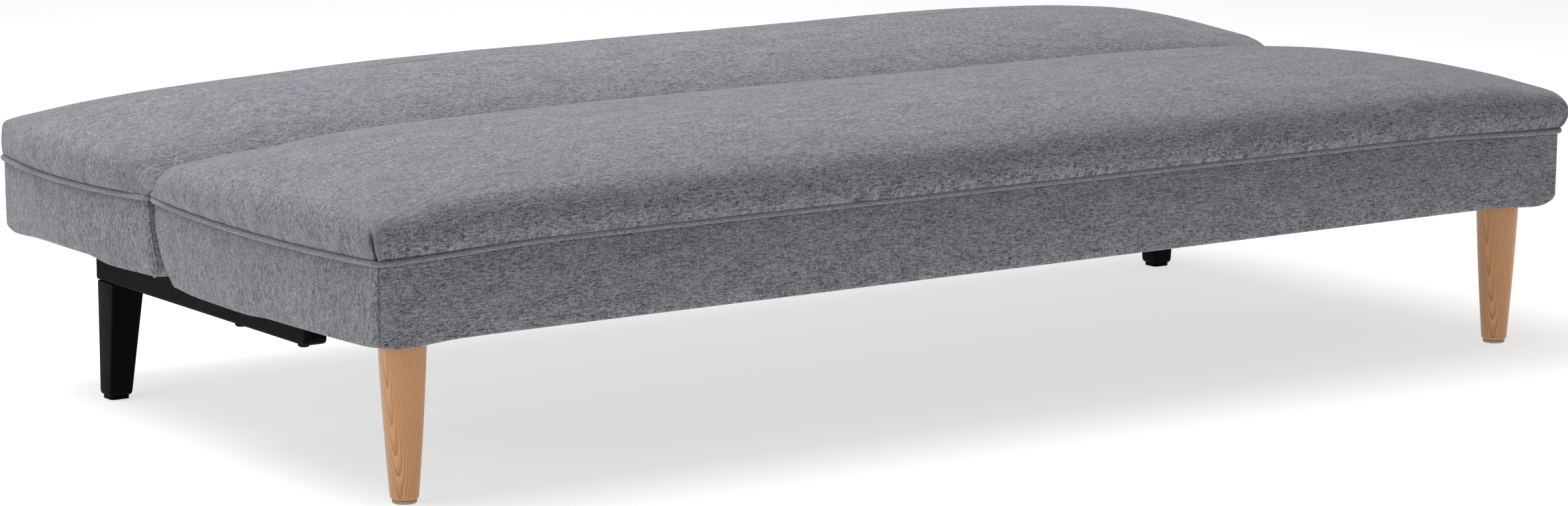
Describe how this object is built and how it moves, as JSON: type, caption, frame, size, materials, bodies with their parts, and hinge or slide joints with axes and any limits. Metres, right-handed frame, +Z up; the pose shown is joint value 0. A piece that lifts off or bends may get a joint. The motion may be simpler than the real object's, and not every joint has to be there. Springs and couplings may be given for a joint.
{
  "type": "futon sofa bed",
  "caption": "Armless click-clack futon sofa bed laid flat: crowned grey seat and back pads with piped seams, turned wooden front legs, black steel rails and rear legs.",
  "frame": {"origin": "on the floor under the middle of the bed's bounding box, laid flat", "axes": "+X along the bed's length, to the right as seen from in front of the seat, +Y from the seat's front edge towards the back panel, +Z up"},
  "size_m": [1.844, 0.984, 0.397],
  "materials": {
    "upholstery": "heathered mid-grey woven upholstery fabric, matt, with short darker streaks",
    "piping_fabric": "the same grey fabric wrapped round a cord",
    "dust_cloth": "black non-woven dust cloth",
    "leg_timber": "natural light wood with open grain under a satin lacquer",
    "frame_timber": "unfinished sawn softwood",
    "spring_wire": "oiled spring wire",
    "black_tube": "satin black powder coat",
    "hinge_steel": "black painted plate",
    "zinc_fastener": "bright zinc plating",
    "black_fastener": "blackened steel bolt",
    "black_moulding": "satin black moulded plastic",
    "bump_rubber": "matt black rubber",
    "felt_glide": "pressed brown felt"
  },
  "bodies": {
    "seat_and_base": {"seat_front_rail": "frame_timber", "seat_rear_rail": "frame_timber", "seat_left_end_rail": "frame_timber", "seat_right_end_rail": "frame_timber", "seat_centre_slat": "frame_timber", "seat_spring_1": "spring_wire", "seat_spring_2": "spring_wire", "seat_spring_3": "spring_wire", "seat_spring_4": "spring_wire", "seat_spring_5": "spring_wire", "seat_pad": "upholstery", "seat_boxing": "upholstery", "seat_piping": "piping_fabric", "seat_dust_cover": "dust_cloth", "left_corner_block": "frame_timber", "left_front_leg": "leg_timber", "left_leg_bolt": "zinc_fastener", "left_front_glide": "felt_glide", "left_rail_cleat": "frame_timber", "left_base_rail": "black_tube", "left_rail_cap": "black_moulding", "left_rail_bolt_front": "black_fastener", "left_rail_bolt_rear": "black_fastener", "left_rear_leg": "black_moulding", "left_rear_glide": "felt_glide", "left_rest_pad": "bump_rubber", "left_hinge_seat_arm": "hinge_steel", "left_hinge_pin": "zinc_fastener", "right_corner_block": "frame_timber", "right_front_leg": "leg_timber", "right_leg_bolt": "zinc_fastener", "right_front_glide": "felt_glide", "right_rail_cleat": "frame_timber", "right_base_rail": "black_tube", "right_rail_cap": "black_moulding", "right_rail_bolt_front": "black_fastener", "right_rail_bolt_rear": "black_fastener", "right_rear_leg": "black_moulding", "right_rear_glide": "felt_glide", "right_rest_pad": "bump_rubber", "right_hinge_seat_arm": "hinge_steel", "right_hinge_pin": "zinc_fastener", "rear_cross_tube": "black_tube"},
    "back_panel": {"back_front_rail": "frame_timber", "back_rear_rail": "frame_timber", "back_left_end_rail": "frame_timber", "back_right_end_rail": "frame_timber", "back_centre_slat": "frame_timber", "back_spring_1": "spring_wire", "back_spring_2": "spring_wire", "back_spring_3": "spring_wire", "back_spring_4": "spring_wire", "back_spring_5": "spring_wire", "back_pad": "upholstery", "back_boxing": "upholstery", "back_piping": "piping_fabric", "back_outside_panel": "upholstery", "left_hinge_back_arm": "hinge_steel", "right_hinge_back_arm": "hinge_steel"}
  },
  "joints": [
    {"name": "back_recline", "type": "hinge", "parent": "seat_and_base", "child": "back_panel", "pos_m": [0, 0.074, 0.2875], "axis": [1, 0, 0], "range_deg": [0, 75]}
  ]
}
